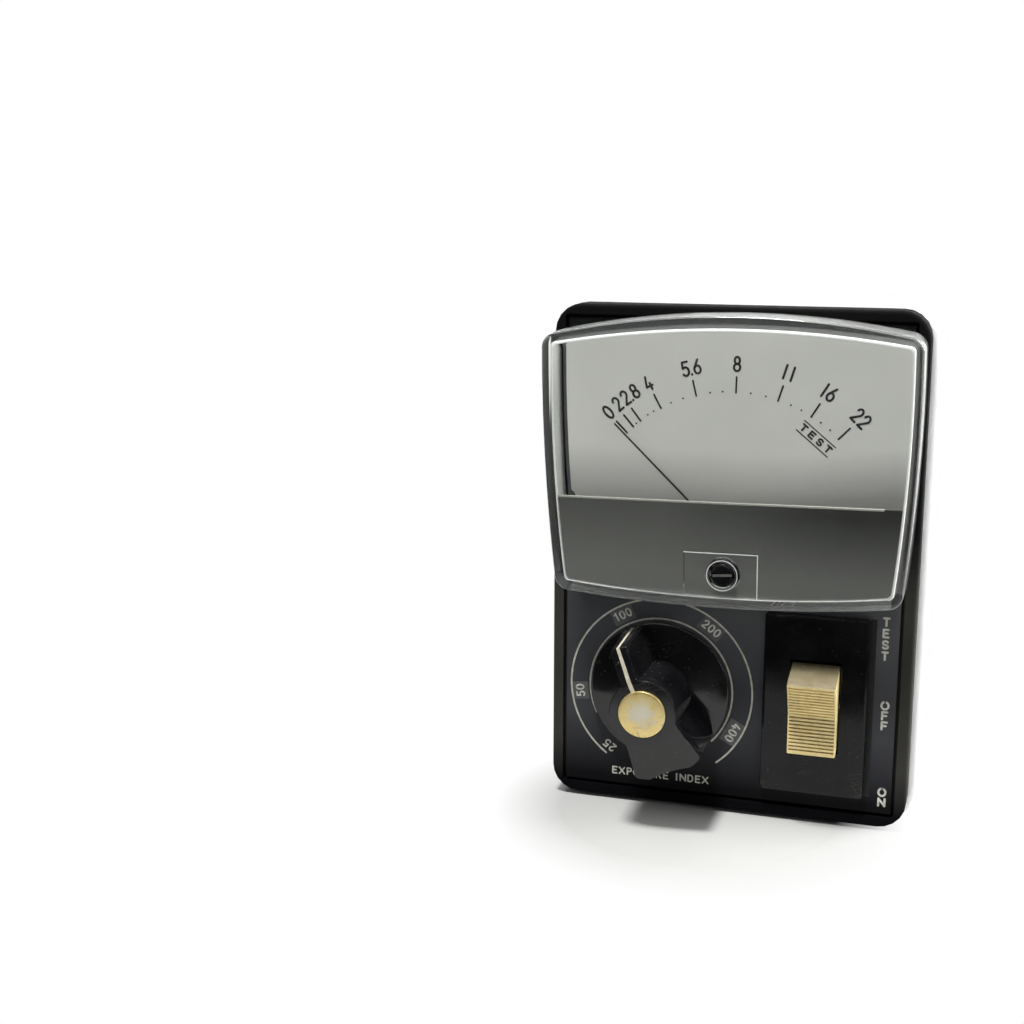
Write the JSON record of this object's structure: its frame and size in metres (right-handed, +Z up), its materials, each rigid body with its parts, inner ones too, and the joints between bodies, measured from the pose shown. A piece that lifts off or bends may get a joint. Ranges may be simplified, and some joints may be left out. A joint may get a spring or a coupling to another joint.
{
  "type": "flash exposure meter",
  "caption": "Handheld flash exposure meter with a clear moving-coil dial window, skirted pointer knob, rocker switch and opal white rear shell.",
  "frame": {"origin": "centre of the flat lower face that the meter stands on", "axes": "+X to the right seen from the front, +Y into the case away from the dial, +Z up"},
  "size_m": [0.0728, 0.0461, 0.0998],
  "materials": {
    "black_moulding": "satin black moulded plastic",
    "panel_print": "dark printed plate",
    "opal_shell": "opal white translucent plastic",
    "clear_acrylic": "clear polished acrylic",
    "dial_silver": "satin silver lacquer",
    "mask_grey": "satin dark grey",
    "gloss_black": "polished black phenolic",
    "needle_black": "matt black paint",
    "gold_cap": "spun gold disc",
    "ivory": "ivory moulded plastic",
    "steel": "plated steel",
    "brass": "plain brass",
    "magnet": "ground magnet alloy",
    "copper": "enamelled copper wire",
    "phenolic_board": "brown phenolic board",
    "component": "lacquered component",
    "cell_wrap": "plain printed sleeve"
  },
  "bodies": {
    "case": {"battery_cell": "cell_wrap", "battery_contact": "brass", "battery_holder": "black_moulding", "battery_spring": "steel", "capacitor": "component", "case_screw_1": "steel", "case_screw_2": "steel", "case_screw_3": "steel", "case_screw_4": "steel", "circuit_board": "phenolic_board", "dial_mask": "mask_grey", "dial_plate": "dial_silver", "dial_screw_left": "brass", "dial_screw_right": "brass", "front_bridge": "brass", "front_frame": "black_moulding", "front_jewel_screw": "brass", "light_sensor": "steel", "magnet_core": "magnet", "meter_body": "black_moulding", "meter_cover": "clear_acrylic", "panel_plate": "panel_print", "pot_body": "steel", "pot_nut": "steel", "pot_terminal_1": "brass", "pot_terminal_2": "brass", "pot_terminal_3": "brass", "pot_washer": "steel", "rear_bridge": "brass", "rear_jewel_screw": "brass", "rear_shell": "opal_shell", "resistor_1": "component", "resistor_2": "component", "stud_nut_left": "brass", "stud_nut_right": "brass", "switch_bezel": "gloss_black", "switch_body": "black_moulding", "switch_pivot_pin": "steel", "switch_terminal_1": "brass", "switch_terminal_2": "brass", "switch_terminal_3": "brass", "terminal_stud_left": "brass", "terminal_stud_right": "brass", "trimmer": "component", "yoke_ring": "steel"},
    "pointer": {"pointer_needle": "needle_black", "pointer_counterweight": "brass", "front_pivot": "steel", "rear_pivot": "steel", "moving_coil": "copper", "front_hairspring": "brass"},
    "control": {"exposure_knob": "gloss_black", "knob_cap": "gold_cap", "pot_shaft": "brass"},
    "rocker": {"switch_rocker": "ivory"},
    "adjuster": {"zero_adjust_screw": "gloss_black"},
    "zero_arm": {"zero_set_arm": "brass"}
  },
  "joints": [
    {"name": "pointer_swing", "type": "hinge", "parent": "case", "child": "pointer", "pos_m": [0.0001, -0.015, 0.0556], "axis": [0, 1, 0], "range_deg": [0, 92], "stiffness_Nm_per_rad": 0.0001},
    {"name": "knob_turn", "type": "hinge", "parent": "case", "child": "control", "pos_m": [-0.013, -0.015, 0.0241], "axis": [0, 1, 0], "range_deg": [-119, 165]},
    {"name": "rocker_tilt", "type": "hinge", "parent": "case", "child": "rocker", "pos_m": [0.0171, -0.014, 0.024], "axis": [1, 0, 0], "range_deg": [-28, 0]},
    {"name": "adjuster_turn", "type": "hinge", "parent": "case", "child": "adjuster", "pos_m": [0.0001, -0.0236, 0.0502], "axis": [0, 1, 0], "range_deg": [-30, 30]},
    {"name": "zero_arm_swing", "type": "hinge", "parent": "case", "child": "zero_arm", "pos_m": [0.0001, -0.0186, 0.0556], "axis": [0, 1, 0], "range_deg": [-6, 6]}
  ],
  "couplings": [
    {"joint": "zero_arm_swing", "follows": "adjuster_turn", "ratio": -0.174}
  ]
}
